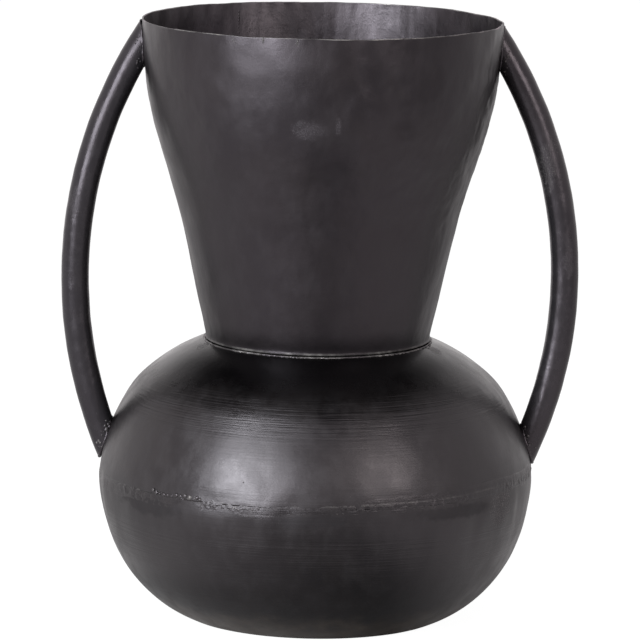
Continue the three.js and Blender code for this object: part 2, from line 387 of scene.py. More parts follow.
def revolve_tree():
    """Turns an outline round the upright axis, then dents, grooves, swells and waves it."""
    g = shape_tree("Revolved Outline", {"Segments": "int", **floats(
        "Dent Size", "Dent Depth", "Lump Size", "Lump Depth", "Uneven Height", "Uneven Reach",
        "Uneven Gain", "Groove Low", "Groove High", "Groove Depth", "Ridge Height", "Ridge Reach",
        "Ridge Tail", "Ridge Depth", "Ridge Seed", "Wave From", "Wave To", "Wave Depth", "Tilt", "Seed")})
    start = g.start
    outline = start["Geometry"]
    count = g.add("GeometryNodeAttributeDomainSize", {"Geometry": outline}).outputs["Point Count"]
    across = g.plus(start["Segments"], 1.0)
    grid = g.add("GeometryNodeMeshGrid", {"Vertices X": across, "Vertices Y": count}).outputs[0]
    index = g.add("GeometryNodeInputIndex").outputs[0]
    column = g.math("FLOOR", g.ratio(g.plus(index, 0.5), count))
    row = g.minus(index, g.times(column, count))
    angle = g.times(g.ratio(column, start["Segments"]), FULL_TURN)
    place = g.position()

    def of_outline(value, data_type="FLOAT"):
        """A value of the outline's point that this row of the grid stands for."""
        return g.add("GeometryNodeSampleIndex", {"Geometry": outline, "Value": value, "Index": row},
                     data_type=data_type).outputs[0]

    turned_place = g.add("ShaderNodeVectorRotate", {
        "Vector": of_outline(place, "FLOAT_VECTOR"), "Angle": angle}, rotation_type="Z_AXIS").outputs[0]
    lumpy = of_outline(g.named("lumpy"))
    stored = g.store(grid, "worn", of_outline(g.named("worn")))
    round_shape = g.add("GeometryNodeSetPosition", {"Geometry": stored, "Position": turned_place}).outputs[0]

    shift = g.join({"X": start["Seed"]})
    seeded = g.vector("ADD", place, shift)
    outwards = g.vector("NORMALIZE", g.vector("MULTIPLY", place, (1, 1, 0)))
    spread = g.split(place)
    height = spread["Z"]
    dents = g.bumps(seeded, start["Dent Size"], start["Dent Depth"], 1.0)
    lumps = g.bumps(seeded, start["Lump Size"], start["Lump Depth"], 3.0, 0.6)
    patches = g.noise(seeded, g.ratio(0.08, start["Lump Size"]), 1.0)
    lumps = g.times(lumps, g.span(patches, 0.40, 0.60, 0.15, 1.4), lumpy)
    drawn_out = g.noise(g.vector("MULTIPLY", seeded, (3, 3, 330)), 1.0, 1.0)
    in_band = g.band(height, start["Groove Low"], start["Groove High"], 0.6)
    grooves = g.times(g.span(drawn_out, 0.45, 0.62), in_band, start["Groove Depth"])
    from_joint = g.math("ABSOLUTE", g.minus(height, start["Uneven Height"]))
    near_joint = g.span(from_joint, start["Uneven Reach"], 0.0)
    gain = g.plus(g.times(near_joint, start["Uneven Gain"]), 1.0)
    uneven = g.times(g.plus(dents, lumps), gain)
    waved = g.minus(g.noise(g.vector("ADD", outwards, shift), 2.3, 3.0, 0.6), 0.5)
    wave = g.times(waved, g.span(height, start["Wave From"], start["Wave To"]), start["Wave Depth"])
    rise = g.plus(wave, g.times(spread["X"], start["Tilt"]))
    from_ridge = g.minus(g.plus(height, rise), start["Ridge Height"])
    along_ridge = g.noise(g.vector("ADD", outwards, g.join({"X": start["Ridge Seed"]})), 2.6, 2.0)
    ridge = g.times(g.span(from_ridge, start["Ridge Reach"], 0.0),
                    g.span(g.times(from_ridge, -1.0), start["Ridge Tail"], 0.0),
                    start["Ridge Depth"], g.span(along_ridge, 0.38, 0.62))
    reach = g.plus(g.minus(uneven, grooves), ridge)
    shaped = g.moved(round_shape, g.vector("ADD", g.scaled(outwards, reach), g.join({"Z": rise})))
    merged = g.add("GeometryNodeMergeByDistance", {"Geometry": shaped, "Distance": 1e-6}).outputs[0]
    close_tree(g, merged)


def bead_tree():
    """Lays a round bead with ripples and lumps along a path."""
    g = shape_tree("Weld Bead", floats(
        "Radius", "Ripple Pitch", "Ripple Depth", "Lump Size", "Lump Depth", "Bare", "Seed"))
    start = g.start
    path = g.add("GeometryNodeMeshToCurve", {"Mesh": start["Geometry"]}).outputs[0]
    fine = g.add("GeometryNodeResampleCurve", {
        "Curve": path, "Length": g.ratio(start["Ripple Pitch"], 6.0)}, mode="LENGTH").outputs[0]
    kept = g.store(fine, "run", g.add("GeometryNodeSplineParameter").outputs["Length"])
    size = g.named("size")
    kept = g.add("GeometryNodeSetCurveRadius", {"Curve": kept, "Radius": size}).outputs[0]
    ring = g.add("GeometryNodeCurvePrimitiveCircle", {"Resolution": 14, "Radius": start["Radius"]})
    tube = g.add("GeometryNodeCurveToMesh", {
        "Curve": kept, "Profile Curve": ring.outputs[0], "Fill Caps": True}).outputs[0]
    turn = g.times(g.ratio(g.named("run"), start["Ripple Pitch"]), FULL_TURN)
    ripple = g.times(g.math("SINE", turn), start["Ripple Depth"])
    seeded = g.vector("ADD", g.position(), g.join({"Y": start["Seed"]}))
    lumps = g.bumps(seeded, start["Lump Size"], start["Lump Depth"], 2.0)
    normal = g.add("GeometryNodeInputNormal").outputs[0]
    shaped = g.moved(tube, g.scaled(normal, g.times(g.plus(ripple, lumps), size)))
    bare = g.span(g.noise(seeded, 240.0, 1.0), 0.56, 0.66)
    close_tree(g, g.store(shaped, "worn", g.most(bare, start["Bare"])))


def uneven_tree():
    """Makes a smooth surface slightly uneven, as hand work leaves it."""
    g = shape_tree("Uneven Surface", floats("Dent Size", "Dent Depth", "Lump Size", "Lump Depth", "Seed"))
    start = g.start
    seeded = g.vector("ADD", g.position(), g.join({"X": start["Seed"]}))
    dents = g.bumps(seeded, start["Dent Size"], start["Dent Depth"], 1.0)
    lumps = g.bumps(seeded, start["Lump Size"], start["Lump Depth"], 2.0)
    normal = g.add("GeometryNodeInputNormal").outputs[0]
    close_tree(g, g.moved(start["Geometry"], g.scaled(normal, g.plus(dents, lumps))))


def spatter_tree():
    """Drops flattened beads of weld at random on the faces that it is given."""
    g = shape_tree("Weld Spatter", {
        **floats("Density", "Smallest", "Largest", "Skew", "Bare"), "Seed": "int"})
    start = g.start
    drops = g.add("GeometryNodeDistributePointsOnFaces", {
        "Mesh": start["Geometry"], "Density": start["Density"], "Seed": start["Seed"]}).outputs
    bare = g.store(drops["Points"], "worn", start["Bare"])
    bead = g.add("GeometryNodeMeshIcoSphere", {"Radius": 1.0, "Subdivisions": 2}).outputs[0]
    chance = g.add("FunctionNodeRandomValue", {2: 0.0, 3: 1.0, "Seed": start["Seed"]},
                   data_type="FLOAT").outputs[1]
    spread = g.minus(start["Largest"], start["Smallest"])
    size = g.plus(start["Smallest"], g.times(g.math("POWER", chance, start["Skew"]), spread))
    scale = g.join({"X": size, "Y": size, "Z": g.times(size, 0.6)})
    copies = g.add("GeometryNodeInstanceOnPoints", {
        "Points": bare, "Instance": bead, "Rotation": drops["Rotation"], "Scale": scale}).outputs[0]
    close_tree(g, copies)


def tool(name):
    """A node tree by its name. They are all made when the first one is asked for."""
    groups = bpy.data.node_groups
    if name not in groups:
        for make in (revolve_tree, bead_tree, uneven_tree, spatter_tree,
                     patina_group, turning_lines_group, wear_group, mark_group):
            make()
    return groups[name]


def grow(name, base, settings):
    """Runs a shape tree on a mesh and returns the result as a plain mesh."""
    tree = tool(name)
    holder = bpy.data.objects.new("base", base)
    bpy.context.scene.collection.objects.link(holder)
    modifier = holder.modifiers.new("Shape", "NODES")
    modifier.node_group = tree
    for item in tree.interface.items_tree:
        if item.item_type == "SOCKET" and item.in_out == "INPUT" and item.name in settings:
            modifier[item.identifier] = settings[item.name]
    graph = bpy.context.evaluated_depsgraph_get()
    mesh = bpy.data.meshes.new_from_object(holder.evaluated_get(graph), depsgraph=graph)
    holder.modifiers.remove(modifier)
    bpy.data.objects.remove(holder)
    return mesh


def facing_out(mesh):
    """Turns the faces of a closed shape outwards."""
    shape = bmesh.new()
    shape.from_mesh(mesh)
    bmesh.ops.recalc_face_normals(shape, faces=shape.faces)
    shape.to_mesh(mesh)
    shape.free()
    return mesh


def place_piece(name, mesh, nodes):
    """Stands a finished mesh in the scene as a piece for the named nodes."""
    mesh.name = name
    piece = bpy.data.objects.new(name, mesh)
    bpy.context.scene.collection.objects.link(piece)
    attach(piece, "root")
    if nodes:
        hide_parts(*nodes)


# Shader effects that several materials share

def patina_group():
    """Mottled colour, gloss and fine grain of blackened iron."""
    g = new_tree("Iron Patina", "ShaderNodeTree", {
        "Dark": "colour", "Warm": "colour", "Pale": "colour",
        **floats("Patch Size", "Rubbing", "Gloss Low", "Gloss High")},
        {"Color": "colour", **floats("Roughness", "Height")})
    start = g.start
    place = g.coordinates()
    patch_scale = g.ratio(1.0, start["Patch Size"])
    patches = g.noise(place, patch_scale, 4.0, 0.55)
    smears = g.noise(g.vector("MULTIPLY", place, (1, 1, 0.55)), g.times(patch_scale, 3.7), 5.0, 0.6)
    grain = g.noise(place, 1400.0, 2.0)
    tone = g.blend(g.span(patches, 0.35, 0.68), start["Dark"], start["Warm"])
    rubbed = g.times(g.span(smears, 0.42, 0.75), start["Rubbing"])
    tone = g.blend(rubbed, tone, start["Pale"])
    tone = g.blend(g.times(g.span(grain, 0.35, 0.75), 0.10), tone, start["Pale"])
    g.feed(g.end.inputs["Color"], tone)
    mixed = g.plus(g.times(patches, 0.5), g.times(smears, 0.5))
    g.feed(g.end.inputs["Roughness"], g.span(mixed, 0.38, 0.62, start["Gloss Low"], start["Gloss High"]))
    dimples = g.noise(place, 260.0, 3.0, 0.6)
    height = g.plus(g.times(dimples, 0.6), g.times(grain, 0.2))
    g.feed(g.end.inputs["Height"], height)


def turning_lines_group():
    """Fine level lines that turning and rubbing leave round the vase, within a band of heights."""
    g = new_tree("Turning Lines", "ShaderNodeTree", floats("Spacing", "Low", "High", "Depth"),
                 floats("Height"))
    start = g.start
    place = g.coordinates()
    level = g.split(place)["Z"]
    pitch = g.ratio(1.0, start["Spacing"])
    stretch = g.join({"X": 12.0, "Y": 12.0, "Z": pitch})
    lines = g.noise(g.vector("MULTIPLY", place, stretch), 1.0, 3.0, 0.65)
    band = g.band(level, start["Low"], start["High"], 0.45)
    height = g.times(g.minus(lines, 0.5), g.times(band, start["Depth"]))
    g.feed(g.end.inputs["Height"], height)


def wear_group():
    """Breaks a mask of worn places up into scuffs."""
    g = new_tree("Worn Places", "ShaderNodeTree", floats("Mask", "Amount"), floats("Mask"))
    start = g.start
    place = g.coordinates()
    scuffs = g.span(g.noise(place, 170.0, 3.0, 0.6), 0.35, 0.65, 0.35, 1.0)
    scuffs = g.times(scuffs, g.span(g.noise(place, 55.0, 2.0), 0.42, 0.66, 0.15, 1.0))
    scuffs = g.times(scuffs, start["Mask"], start["Amount"])
    g.feed(g.end.inputs["Mask"], g.math("MINIMUM", scuffs, 1.0))


def mark_group():
    """A round patch with a ragged edge and fine pale speckles."""
    g = new_tree("Rough Mark", "ShaderNodeTree", {
        "Place": "vector", "Radius": "float", "Stretch": "vector"}, floats("Mask", "Speckle"))
    start = g.start
    place = g.coordinates()
    from_middle = g.vector("MULTIPLY", g.vector("SUBTRACT", place, start["Place"]), start["Stretch"])
    away = g.length(from_middle)
    ragged = g.minus(g.noise(place, 120.0, 3.0, 0.6), 0.5)
    ragged = g.times(ragged, g.times(start["Radius"], 1.3))
    mask = g.span(g.plus(away, ragged), start["Radius"], g.times(start["Radius"], 0.4))
    g.feed(g.end.inputs["Mask"], mask)
    speckle = g.span(g.noise(place, 1100.0, 3.0, 0.7), 0.50, 0.74)
    g.feed(g.end.inputs["Speckle"], g.times(mask, speckle))


RIM_TICKS = (-28.3, -18.4, -7.6)


def shader_graph(owner):
    """The emptied shader tree of a material or a world."""
    owner.use_nodes = True
    owner.node_tree.nodes.clear()
    return Graph(owner.node_tree, ends=False)


def spot(x, y, z, radius, stretch, *shine):
    """A mark or smudge, from its place and radius in millimetres."""
    return ((x * MM, y * MM, z * MM), radius * MM, stretch, *shine)


def metal_material(name, patch_size, rubbing, gloss, specular, dimples, green=0.87, wear=0.0,
                   lines=(), marks=(), painted_shadow_smudges=(), dust=0.0, rust_and_floor_reflection=None, painted_shade_band=None):
    """Blackened metal: patina, turning lines, bare worn places, rough marks, painted shadows and painted
    shade.

    dimples and the depths of the lines are in metres, and green is the middle part of the
    sheen's colour. A mark or smudge is a place, a radius and how much it is drawn in along
    each axis, and a mark ends with how bare its speckles are. A smudge is a painted shadow,
    darker colour and lower sheen on rougher iron. dust is how far the whole colour is paled,
    and rust is the height of the brownish iron near the base, whose pale brown is also a
    painted reflection of the floor. The last setting is a band of painted shade: two heights
    between which the colour gets darker and the sheen lower while the iron gets glossier, and
    the shares of its roughness and its sheen that are left.
    """
    colours = bpy.context.scene.vase_colours
    bare = tuple(colours.bare)
    dark = tuple(colours.dark)
    scuff = tuple(colours.scuff)
    material = bpy.data.materials.new(name)
    g = shader_graph(material)
    patina = g.group("Iron Patina", {
        "Dark": dark, "Warm": colours.warm, "Pale": colours.pale, "Patch Size": patch_size,
        "Rubbing": rubbing, "Gloss Low": gloss[0], "Gloss High": gloss[1]})
    worn = g.add("ShaderNodeAttribute", attribute_name="worn").outputs["Fac"]
    scuffs = g.group("Worn Places", {"Mask": worn, "Amount": wear})["Mask"]
    place = g.coordinates()
    level = g.split(place)["Z"]
    colour = g.blend(dust, patina["Color"], scuff)
    roughness = patina["Roughness"]
    sheen = specular
    # Painted shade: between the two heights the colour is darkened towards dark iron and the sheen is
    # lowered, and the roughness is cut.
    if painted_shade_band:
        low, high, roughness_left, sheen_left = painted_shade_band
        roughness = g.times(roughness, g.span(level, low, high, 1.0, roughness_left))
        colour = g.blend(g.span(level, low, high), colour, dark)
        sheen = g.times(g.span(level, low, high, 1.0, sheen_left), specular)
    colour = g.blend(scuffs, colour, bare)
    height = g.times(patina["Height"], dimples)
    for spacing, low, high, depth in lines:
        turning = g.group("Turning Lines", {"Spacing": spacing, "Low": low, "High": high, "Depth": depth})
        height = g.plus(height, turning["Height"])
    # Brownish iron near the base; the pale brown also serves as a painted reflection of the floor.
    if rust_and_floor_reflection:
        ragged = g.times(g.noise(place, 60.0, 4.0, 0.6), rust_and_floor_reflection)
        brown_and_floor_reflection = g.span(g.plus(level, ragged), rust_and_floor_reflection * 1.3, rust_and_floor_reflection * 0.4, 0.0, 0.7)
        colour = g.blend(brown_and_floor_reflection, colour, tuple(colours.rust_and_floor_reflection))
    # Painted shadows: each smudge darkens the colour and lowers the sheen, and roughens the iron.
    for middle, radius, stretch in painted_shadow_smudges:
        shadow_mask = g.group("Rough Mark", {"Place": middle, "Radius": radius, "Stretch": stretch})["Mask"]
        colour = g.blend(shadow_mask, colour, dark)
        roughness = g.plus(roughness, g.times(shadow_mask, 0.15))
        sheen = g.times(sheen, g.span(shadow_mask, 0.0, 1.0, 1.0, 0.8))
    # Rough marks; the bowl's first one is pale scuffs that also paint the highlight of a swelling.
    for middle, radius, stretch, shine in marks:
        rough = g.group("Rough Mark", {"Place": middle, "Radius": radius, "Stretch": stretch})
        shining = g.times(rough["Speckle"], shine)
        scuffs = g.most(scuffs, shining)
        colour = g.blend(shining, colour, bare)
        scuffed = g.plus(g.times(rough["Mask"], 0.15), g.times(rough["Speckle"], 0.75))
        colour = g.blend(scuffed, colour, scuff)
        roughness = g.plus(roughness, g.times(rough["Mask"], 0.1))
        height = g.plus(height, g.times(rough["Speckle"], 0.12 * MM))
    bump = g.add("ShaderNodeBump", {"Height": height, "Distance": 1.0, "Strength": 1.0})
    shader = g.add("ShaderNodeBsdfPrincipled", {
        "Base Color": colour, "Roughness": roughness, "Metallic": scuffs, "Normal": bump.outputs[0],
        "Specular IOR Level": sheen, "Specular Tint": (1.0, green, 0.97, 1)})
    g.add("ShaderNodeOutputMaterial", {"Surface": shader.outputs[0]})
    return material


def weld_metal(name, dimples, wear, gloss=(0.28, 0.42), **settings):
    """The rough metal of a weld."""
    return metal_material(name, patch_size=9 * MM, rubbing=0.7, gloss=gloss, specular=0.5,
                          dimples=dimples, wear=wear, **settings)


# Base meshes

def outline_mesh(outline, worn, closed=False, lumpy=None):
    """A row of points in the upright plane, with how worn and how lumpy each one is."""
    lumpy = np.ones(len(outline)) if lumpy is None else lumpy
    if closed:
        outline = np.vstack([outline, outline[:1]])
        worn = np.append(worn, worn[:1])
        lumpy = np.append(lumpy, lumpy[:1])
    mesh = bpy.data.meshes.new("outline")
    mesh.from_pydata([(r, 0, z) for r, z in outline], [], [])
    mesh.attributes.new("worn", "FLOAT", "POINT").data.foreach_set("value", worn)
    mesh.attributes.new("lumpy", "FLOAT", "POINT").data.foreach_set("value", lumpy)
    return mesh


def path_mesh(points, closed, sizes=None):
    """A chain of edges through the points, with the share of a bead's size at each."""
    count = len(points)
    edges = [(i, i + 1) for i in range(count - 1)] + ([(count - 1, 0)] if closed else [])
    mesh = bpy.data.meshes.new("path")
    mesh.from_pydata([tuple(p) for p in points], edges, [])
    shares = np.ones(count) if sizes is None else np.array(sizes)
    mesh.attributes.new("size", "FLOAT", "POINT").data.foreach_set("value", shares)
    return mesh


def grid_mesh(rows, wrap_rows=False, wrap_columns=False):
    """Quads over a grid of points."""
    rows = np.array(rows)
    count, width = rows.shape[:2]
    faces = []
    for i in range(count if wrap_rows else count - 1):
        for j in range(width if wrap_columns else width - 1):
            k = (i + 1) % count
            m = (j + 1) % width
            faces.append((i * width + j, i * width + m, k * width + m, k * width + j))
    mesh = bpy.data.meshes.new("grid")
    mesh.from_pydata([tuple(p) for p in rows.reshape(-1, 3)], [], faces)
    return mesh


def ring_strip(face, low, high):
    """A strip of a revolved face between two azimuths, in degrees from the front."""
    turns = np.radians(np.linspace(low, high, int((high - low) / 2) + 1) - 90)
    return grid_mesh([[(r * math.cos(t), r * math.sin(t), z) for t in turns] for r, z in face])


class HandleArc:
    """Middle line of a handle, bent through its two places on the wall."""

    def __init__(self, sizes, side):
        self.bend = sizes.right_bend if side == "right" else sizes.left_bend
        self.top, self.top_normal = wall_place(neck_face(sizes), sizes.height - sizes.handle_top_drop)
        self.foot, self.foot_normal = wall_place(bowl_face(sizes), sizes.handle_foot_height)
        chord = self.top - self.foot
        length = np.linalg.norm(chord)
        inward = np.array([-chord[1], chord[0]]) / length
        self.centre = (self.top + self.foot) / 2 + inward * math.sqrt(self.bend ** 2 - (length / 2) ** 2)

    def end_angle(self, place, normal, reach, side):
        """Where a line at this distance from the bend's middle meets the wall's tangent plane."""
        facing = math.atan2(normal[1], normal[0])
        distance = np.dot(place - self.centre, normal) + CLEARANCE
        return facing + side * math.acos(distance / reach)

    def ends(self, reach):
        """Angles of the foot and the top of a line of the tube."""
        return (self.end_angle(self.foot, self.foot_normal, reach, -1),
                self.end_angle(self.top, self.top_normal, reach, 1))

    def point(self, radius, around, angle):
        """A point round the tube, at an angle along the bend."""
        reach = self.bend + radius * math.cos(around)
        return (self.centre[0] + reach * math.cos(angle), radius * math.sin(around),
                self.centre[1] + reach * math.sin(angle))


def wall_place(face, height):
    """The point of an outer face at a height, and the way that the wall faces there."""
    index = np.flatnonzero((face[:-1, 1] <= height) & (face[1:, 1] >= height))[-1]
    step = face[index + 1] - face[index]
    place = face[index] + step * (height - face[index, 1]) / step[1]
    return place, np.array([step[1], -step[0]]) / np.linalg.norm(step)


def bowl_face(sizes):
    """Outer face of the whole bowl."""
    return np.vstack([lower_bowl_face(sizes)[FLOOR_POINTS:], upper_bowl_face(sizes)])


def handle_mesh(arc, sizes, rings, sides):
    """The hollow bent tube, cut at a slant against the wall at both ends."""
    turns = np.linspace(0, FULL_TURN, sides, endpoint=False)
    rows = []
    inner = sizes.tube_radius - sizes.tube_wall
    for radius, shares in ((sizes.tube_radius, np.linspace(0, 1, rings)),
                           (inner, np.linspace(1, 0, rings // 2))):
        for share in shares:
            row = []
            for turn in turns:
                foot, top = arc.ends(arc.bend + radius * math.cos(turn))
                row.append(arc.point(radius, turn, foot + share * (top - foot)))
            rows.append(row)
    return grid_mesh(rows, wrap_rows=True, wrap_columns=True)


def tube_patch(arc, sizes, front, share):
    """A small patch of the tube's front, at a share of its length."""
    rows = []
    for turn in np.radians(front + np.linspace(-50, 50, 12)):
        foot, top = arc.ends(arc.bend + sizes.tube_radius * math.cos(turn))
        shares = np.linspace(share - 0.013, share + 0.013, 8)
        rows.append([arc.point(sizes.tube_radius, turn, foot + s * (top - foot)) for s in shares])
    return grid_mesh(rows)


def collar_path(arc, sizes, top, steps):
    """Middle of the weld round one end of a tube, lying on the curved wall."""
    place, normal = (arc.top, arc.top_normal) if top else (arc.foot, arc.foot_normal)
    radius = sizes.tube_radius - 0.9 * MM
    points = []
    shares = []
    for turn in np.linspace(0, FULL_TURN, steps, endpoint=False):
        reach = arc.bend + radius * math.cos(turn)
        angle = arc.ends(reach)[1 if top else 0]
        x, y, z = arc.point(radius, turn, angle)
        sink = y * y / (2 * place[0])
        points.append((x - sink * normal[0], y, z - sink * normal[1]))
        shares.append(0.05 + 1.2 * (0.5 - 0.5 * math.cos(turn)) ** 1.5 + 0.45 * abs(math.sin(turn)))
    return points, shares


def turned(mesh, angle):
    """The mesh turned round the upright axis."""
    mesh.transform(Matrix.Rotation(angle, 4, "Z"))
    return mesh


def thinned(points, step):
    """Every few points of a face, with both its ends."""
    kept = points[::step]
    if (len(points) - 1) % step:
        kept = np.vstack([kept, points[-1:]])
    return kept


def shell_outline(face, thickness):
    """Outline of a sheet, with fewer points than its face has and fewer still behind it."""
    face = thinned(face, step=2)
    outline, worn = sheet_outline(face, thickness)
    # The face has one point more near its end, and the first two behind it are kept too.
    shown = len(face) + 1 + EDGE_POINTS + 2
    hidden = thinned(outline[shown:], step=3)
    return np.vstack([outline[:shown], hidden]), np.append(worn[:shown], np.zeros(len(hidden)))


# Operators

# What a revolved piece has unless it says otherwise. The wave starts above the vase.
REVOLVED = {"Segments": 480, "Dent Size": 40 * MM, "Dent Depth": 0.9 * MM, "Lump Size": 15 * MM,
            "Lump Depth": 0.25 * MM, "Uneven Reach": 1 * MM, "Ridge Reach": 1 * MM, "Ridge Tail": 1 * MM,
            "Wave From": 10.0, "Wave To": 11.0}


def bowl_unevenness(sizes):
    """Dents of the bowl, and its swelling where the heat of the weld has drawn the sheet."""
    return {"Dent Size": 34 * MM, "Dent Depth": 0.7 * MM, "Lump Depth": 0.12 * MM,
            "Uneven Height": sizes.belly_height, "Uneven Reach": 34 * MM, "Uneven Gain": 1.6,
            "Ridge Height": sizes.belly_height - 10 * MM, "Ridge Reach": 17 * MM, "Ridge Tail": 50 * MM,
            "Ridge Depth": 1.7 * MM, "Ridge Seed": 259.5, "Seed": 3.0}


class VASE_OT_bowl(bpy.types.Operator):
    """Makes the two spun halves of the bowl."""

    bl_idname = "vase.bowl"
    bl_label = "Bowl"

    def execute(self, context):
        sizes = context.scene.vase_sizes
        # The bowl's brownish base is rust and also a painted reflection of the floor.
        iron = metal_material(
            "Bowl Iron", patch_size=44 * MM, rubbing=0.75, gloss=(0.29, 0.42), specular=0.5,
            # The band from 168 to 192 mm is painted shade on the shoulder under the neck.
            dimples=0.1 * MM, green=0.91, rust_and_floor_reflection=32 * MM, painted_shade_band=(168 * MM, 192 * MM, 0.65, 0.5),
            lines=((1.4 * MM, 148 * MM, 186 * MM, 0.4 * MM), (1.6 * MM, 46 * MM, 88 * MM, 0.36 * MM),
                   (2.4 * MM, -20 * MM, 230 * MM, 0.09 * MM)),
            # The first mark, below the weld on the right, is pale scuffs that also serve as a painted
            # highlight where the sheet swells.
            marks=(spot(131, -84, 97, 18, (1.0, 1.0, 1.0), 0.9),
                   spot(-82, -28, 199, 8, (1.0, 1.0, 1.0), 0.5),
                   spot(84, -26, 199, 9, (1.0, 1.0, 1.0), 0.5)),
            # Painted shadows below the lower edge of the belly weld.
            painted_shadow_smudges=(spot(-118, -102, 97, 34, (0.75, 0.75, 3.4)),
                     spot(-4, -156, 97.5, 26, (0.75, 0.75, 3.6)),
                     spot(99, -121, 99.5, 34, (0.75, 0.75, 4.8))))
        for name, node, face, closed, low, high, depth in (
                ("bowl_lower_half", "lower_bowl", lower_bowl_face(sizes), False, 46, 88, 0.06),
                ("bowl_upper_half", "upper_bowl", upper_bowl_face(sizes), True, 150, 184, 0.07)):
            outline, worn = shell_outline(face, sizes.sheet)
            mesh = grow("Revolved Outline", outline_mesh(outline, worn, closed), {
                **REVOLVED, **bowl_unevenness(sizes), "Groove Low": low * MM, "Groove High": high * MM,
                "Groove Depth": depth * MM, "Material": iron})
            place_piece(name, facing_out(mesh), [node])
        return {"FINISHED"}


class VASE_OT_neck(bpy.types.Operator):
    """Makes the rolled and flared neck."""

    bl_idname = "vase.neck"
    bl_label = "Neck"

    def execute(self, context):
        sizes = context.scene.vase_sizes
        ticks = []
        for azimuth in np.radians(RIM_TICKS):
            place = (sizes.rim_radius * math.sin(azimuth), -sizes.rim_radius * math.cos(azimuth),
                     sizes.height - 2 * MM)
            ticks.append((place, 2.4 * MM, (1.5, 1.5, 0.6), 0.9))
        iron = metal_material(
            "Neck Iron", patch_size=55 * MM, rubbing=0.45, gloss=(0.33, 0.43), specular=0.42,
            # The band from 220 down to 205 mm is painted shade on the neck just above its foot.
            dimples=0.13 * MM, wear=0.5, painted_shade_band=(220 * MM, 205 * MM, 1.0, 0.5),
            lines=((3 * MM, 190 * MM, 460 * MM, 0.03 * MM),),
            marks=(spot(-9, -121.5, 368, 10, (0.6, 0.6, 1.1), 0.0),
                   spot(12, -121.5, 372, 8, (2.4, 2.4, 0.8), 0.0), *ticks))
        outline, worn = shell_outline(neck_face(sizes), sizes.sheet)
        turned_in = 9
        worn[:turned_in] = 0.6
        mesh = grow("Revolved Outline", outline_mesh(outline, worn, closed=True), {
            **REVOLVED, "Dent Depth": 0.9 * MM, "Lump Size": 17 * MM, "Lump Depth": 0.7 * MM,
            "Uneven Height": sizes.height - 55 * MM, "Uneven Reach": 150 * MM, "Uneven Gain": 2.2,
            "Wave From": sizes.height - 40 * MM, "Wave To": sizes.height,
            "Wave Depth": 2.4 * MM, "Seed": 11.0, "Material": iron})
        inside = metal_material(
            "Neck Inside Iron", patch_size=24 * MM, rubbing=0.5, gloss=(0.33, 0.44), specular=0.8,
            dimples=0.2 * MM, wear=0.5,
            lines=((5 * MM, 190 * MM, 470 * MM, 0.05 * MM),))
        facing_out(mesh).materials.append(inside)
        for face in mesh.polygons:
            if face.normal.xy.dot(face.center.xy) < 0:
                face.material_index = len(mesh.materials) - 1
        place_piece("neck_flared", mesh, ["neck"])
        return {"FINISHED"}


class VASE_OT_handles(bpy.types.Operator):
    """Makes the two bent tube handles."""

    bl_idname = "vase.handles"
    bl_label = "Handles"

    def execute(self, context):
        sizes = context.scene.vase_sizes
        for side, angle, specular in (("right", 0.0, 0.38), ("left", math.pi, 0.25)):
            arc = HandleArc(sizes, side)
            iron = metal_material(
                "Tube Iron " + side, patch_size=16 * MM, rubbing=0.9, gloss=(0.18, 0.32),
                specular=specular, dimples=0.16 * MM, dust=0.5,
                marks=(spot(163, -9, 331, 8, (1.0, 1.0, 0.3), 0.9),
                       spot(180, -9, 262, 5, (1.0, 1.0, 0.3), 0.15),
                       spot(-176, -9, 300, 5, (1.0, 1.0, 0.3), 0.15)))
            mesh = turned(facing_out(handle_mesh(arc, sizes, rings=300, sides=56)), angle)
            mesh = grow("Uneven Surface", mesh, {
                "Dent Size": 26 * MM, "Dent Depth": 0.7 * MM, "Lump Size": 7 * MM, "Lump Depth": 0.2 * MM,
                "Seed": 1.0 + angle, "Material": iron})
            place_piece("handle_tube_" + side, mesh, ["handle_" + side])
        return {"FINISHED"}


class VASE_OT_bowl_weld(bpy.types.Operator):
    """Makes the ground-off weld round the bowl's widest place."""

    bl_idname = "vase.bowl_weld"
    bl_label = "Bowl weld"

    def execute(self, context):
        sizes = context.scene.vase_sizes
        weld = weld_metal("Bowl Weld Metal", 0.3 * MM, 0.5, gloss=(0.29, 0.40), green=0.91,
                          lines=((0.9 * MM, 94 * MM, 116 * MM, 0.3 * MM),))
        half_tall = 8 * MM
        back_half_tall = 0.6 * half_tall
        back_points = 5
        share = np.linspace(-1, 1, 41)
        bowl = bowl_face(sizes)
        face = np.column_stack([
            np.interp(sizes.belly_height + share * half_tall, bowl[:, 1], bowl[:, 0]) - 0.06 * MM
            + 0.12 * MM * np.exp(-(share / 0.35) ** 2) - 0.5 * MM * share ** 8,
            sizes.belly_height + share * half_tall])
        back = np.column_stack([
            np.full(back_points, sizes.belly_radius - sizes.sheet - 0.5 * MM),
            sizes.belly_height + np.linspace(back_half_tall, -back_half_tall, back_points)])
        outline = np.vstack([face, back])
        lumpy = np.exp(-(np.append(share, np.ones(back_points)) / 0.45) ** 2)
        worn = np.zeros(len(outline))
        bare_line = slice(25, 28)
        worn[bare_line] = 0.25
        mesh = grow("Revolved Outline", outline_mesh(outline, worn, closed=True, lumpy=lumpy), {
            **REVOLVED, **bowl_unevenness(sizes), "Segments": 1400, "Lump Size": 4 * MM,
            "Lump Depth": 0.7 * MM, "Wave From": -1.0, "Wave To": 0.0,
            "Wave Depth": 5 * MM, "Tilt": 0.017, "Material": weld})
        place_piece("bowl_weld_band", facing_out(mesh), ["belly_weld"])
        return {"FINISHED"}


